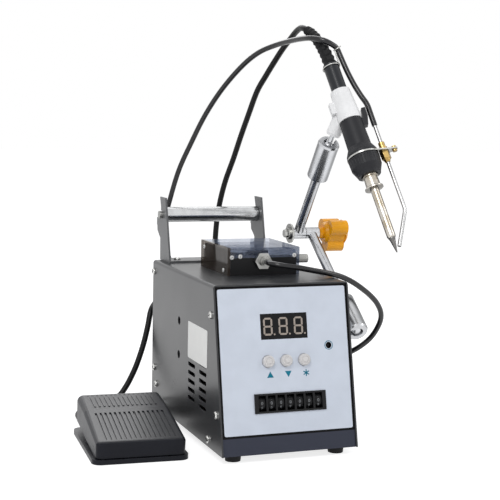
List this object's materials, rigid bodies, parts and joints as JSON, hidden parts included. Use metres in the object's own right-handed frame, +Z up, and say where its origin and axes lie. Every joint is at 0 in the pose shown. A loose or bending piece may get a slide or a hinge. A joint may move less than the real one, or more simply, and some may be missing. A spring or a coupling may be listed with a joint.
{
  "type": "soldering station with solder feeder and foot pedal",
  "caption": "Bench soldering station: slant-front case, clear-covered solder feeder, reel roller, iron with solder guide on a jointed arm, thumbwheels, foot pedal and cords.",
  "frame": {"origin": "on the table, under the middle of the station with its pedal, its free cords left out", "axes": "+X to the right of someone facing the sloping front panel, +Y from the front to the back, +Z up"},
  "size_m": [0.2545, 0.2279, 0.3301],
  "materials": {
    "black_sheet": "fine texture powder coat",
    "slate_sheet": "fine texture powder coat",
    "overlay": "satin film",
    "steel": "satin",
    "chrome": "polished",
    "grey_steel": "satin grey",
    "rubber": "matt",
    "display": "gloss black",
    "board": "board lacquer",
    "black_plastic": "matt",
    "button_white": "satin",
    "laminations": "varnished plates",
    "clear": "clear acrylic",
    "knob_orange": "satin",
    "clamp_white": "satin",
    "handle": "matt",
    "brass": "machined",
    "copper_tip": "plated, worn",
    "pedal_paint": "matt",
    "jacket": "semi-gloss jacket"
  },
  "bodies": {
    "case": {"case_cover": "black_sheet", "chassis": "slate_sheet", "front_overlay": "overlay", "case_screws": "steel", "case_feet": "rubber", "display_module": "display", "control_board": "board", "wheel_frame": "black_plastic", "inlet_block": "black_plastic", "cord_glands": "rubber", "transformer": "laminations", "feeder_base": "black_plastic", "feeder_cover": "clear", "feed_motor": "steel", "outlet_fitting": "chrome", "spool_bracket": "grey_steel", "arm_mount": "chrome", "pedal_base": "pedal_paint", "pedal_spring": "steel", "pedal_switch": "black_plastic", "feed_tube": "jacket", "iron_cord": "jacket", "pedal_cord": "jacket", "pedal_cord_coil": "jacket"},
    "base_stud": {"base_stud": "chrome"},
    "lower_arm": {"lower_arm": "chrome"},
    "upper_arm": {"upper_arm": "chrome", "elbow_bolt": "steel"},
    "elbow_knob": {"elbow_knob": "knob_orange"},
    "clamp_stud": {"clamp_stud": "chrome"},
    "head": {"iron_clamp": "clamp_white", "handle_tail": "handle", "handle_grip": "handle", "grip_nut": "black_plastic", "iron_barrel": "steel", "iron_tip": "copper_tip", "strain_relief": "rubber", "wire_clip": "steel", "guide_plate": "steel", "guide_fitting": "brass", "guide_needle": "steel"},
    "button_up": {"button_up": "button_white"},
    "button_down": {"button_down": "button_white"},
    "button_set": {"button_set": "button_white"},
    "power_rocker": {"power_rocker": "black_plastic"},
    "drive_wheel": {"drive_wheel": "steel"},
    "pressure_lever": {"pressure_lever": "grey_steel"},
    "pressure_roller": {"pressure_roller": "black_plastic"},
    "tension_knob": {"tension_knob": "steel"},
    "spool_axle": {"spool_axle": "steel"},
    "spool_roller": {"spool_roller": "chrome"},
    "pedal_treadle": {"pedal_treadle": "pedal_paint"},
    "thumbwheel_1": {"thumbwheel_1": "black_plastic"},
    "thumbwheel_2": {"thumbwheel_2": "black_plastic"},
    "thumbwheel_3": {"thumbwheel_3": "black_plastic"},
    "thumbwheel_4": {"thumbwheel_4": "black_plastic"},
    "thumbwheel_5": {"thumbwheel_5": "black_plastic"},
    "thumbwheel_6": {"thumbwheel_6": "black_plastic"},
    "thumbwheel_7": {"thumbwheel_7": "black_plastic"}
  },
  "joints": [
    {"name": "base_turn", "type": "hinge", "parent": "case", "child": "base_stud", "pos_m": [0.09136, -0.06141, 0.091], "axis": [1, 0, 0], "range_deg": [-6, 20], "deforming": ["feed_tube", "iron_cord"]},
    {"name": "base_lean", "type": "hinge", "parent": "base_stud", "child": "lower_arm", "pos_m": [0.09136, -0.06141, 0.091], "axis": [0, 0.5807, -0.8141], "range_deg": [0, 25], "deforming": ["feed_tube", "iron_cord"]},
    {"name": "elbow_fold", "type": "hinge", "parent": "lower_arm", "child": "upper_arm", "pos_m": [0.07895, 0.03107, 0.15697], "axis": [1, 0, 0], "range_deg": [-15, 25], "deforming": ["feed_tube", "iron_cord"]},
    {"name": "head_tilt", "type": "hinge", "parent": "upper_arm", "child": "clamp_stud", "pos_m": [0.07895, -0.02539, 0.23162], "axis": [-0.7738, 0.5053, 0.3821], "range_deg": [-15, 20], "deforming": ["feed_tube", "iron_cord"]},
    {"name": "head_turn", "type": "hinge", "parent": "clamp_stud", "child": "head", "pos_m": [0.07895, -0.02539, 0.23162], "axis": [0.2983, -0.2415, 0.9234], "range_deg": [-25, 25], "deforming": ["feed_tube", "iron_cord"]},
    {"name": "elbow_knob_turn", "type": "hinge", "parent": "upper_arm", "child": "elbow_knob", "pos_m": [0.09136, 0.03107, 0.15697], "axis": [1, 0, 0], "range_deg": [0, 180]},
    {"name": "power_rocker_tilt", "type": "hinge", "parent": "case", "child": "power_rocker", "pos_m": [0.05656, 0.08109, 0.036], "axis": [1, 0, 0], "range_deg": [0, 20]},
    {"name": "drive_wheel_spin", "type": "hinge", "parent": "case", "child": "drive_wheel", "pos_m": [0.01716, 0.01059, 0.1416], "axis": [0, 0, 1], "continuous": true},
    {"name": "pressure_lever_open", "type": "hinge", "parent": "case", "child": "pressure_lever", "pos_m": [0.03755, 0.03059, 0.1353], "axis": [0, 0, 1], "range_deg": [0, 5], "stiffness_Nm_per_rad": 0.5, "springref_deg": -5.73},
    {"name": "pressure_roller_spin", "type": "hinge", "parent": "pressure_lever", "child": "pressure_roller", "pos_m": [0.03156, 0.01059, 0.1416], "axis": [0, 0, 1], "continuous": true},
    {"name": "tension_knob_turn", "type": "hinge", "parent": "case", "child": "tension_knob", "pos_m": [0.05736, -0.01591, 0.1416], "axis": [1, 0, 0], "range_deg": [-180, 180]},
    {"name": "spool_axle_out", "type": "slide", "parent": "case", "child": "spool_axle", "axis": [0, 1, 0], "range_m": [0, 0.02]},
    {"name": "spool_roller_spin", "type": "hinge", "parent": "spool_axle", "child": "spool_roller", "pos_m": [0.01961, 0.08558, 0.169], "axis": [1, 0, 0], "continuous": true},
    {"name": "pedal_press", "type": "hinge", "parent": "case", "child": "pedal_treadle", "pos_m": [-0.08444, -0.06075, 0.0094], "axis": [-0.9976, 0.0698, 0], "range_deg": [0, 3.5], "stiffness_Nm_per_rad": 5, "springref_deg": -4.58, "deforming": ["pedal_spring"]},
    {"name": "button_up_press", "type": "slide", "parent": "case", "child": "button_up", "axis": [0, 0.9763, -0.2165], "range_m": [0, 0.0008], "stiffness_N_per_m": 800, "springref_m": -0.0005},
    {"name": "button_down_press", "type": "slide", "parent": "case", "child": "button_down", "axis": [0, 0.9763, -0.2165], "range_m": [0, 0.0008], "stiffness_N_per_m": 800, "springref_m": -0.0005},
    {"name": "button_set_press", "type": "slide", "parent": "case", "child": "button_set", "axis": [0, 0.9763, -0.2165], "range_m": [0, 0.0008], "stiffness_N_per_m": 800, "springref_m": -0.0005},
    {"name": "thumbwheel_1_turn", "type": "hinge", "parent": "case", "child": "thumbwheel_1", "pos_m": [0.0022, -0.08486, 0.04141], "axis": [1, 0, 0], "continuous": true},
    {"name": "thumbwheel_2_turn", "type": "hinge", "parent": "case", "child": "thumbwheel_2", "pos_m": [0.00982, -0.08486, 0.04141], "axis": [1, 0, 0], "continuous": true},
    {"name": "thumbwheel_3_turn", "type": "hinge", "parent": "case", "child": "thumbwheel_3", "pos_m": [0.01744, -0.08486, 0.04141], "axis": [1, 0, 0], "continuous": true},
    {"name": "thumbwheel_4_turn", "type": "hinge", "parent": "case", "child": "thumbwheel_4", "pos_m": [0.02506, -0.08486, 0.04141], "axis": [1, 0, 0], "continuous": true},
    {"name": "thumbwheel_5_turn", "type": "hinge", "parent": "case", "child": "thumbwheel_5", "pos_m": [0.03268, -0.08486, 0.04141], "axis": [1, 0, 0], "continuous": true},
    {"name": "thumbwheel_6_turn", "type": "hinge", "parent": "case", "child": "thumbwheel_6", "pos_m": [0.0403, -0.08486, 0.04141], "axis": [1, 0, 0], "continuous": true},
    {"name": "thumbwheel_7_turn", "type": "hinge", "parent": "case", "child": "thumbwheel_7", "pos_m": [0.04792, -0.08486, 0.04141], "axis": [1, 0, 0], "continuous": true}
  ]
}
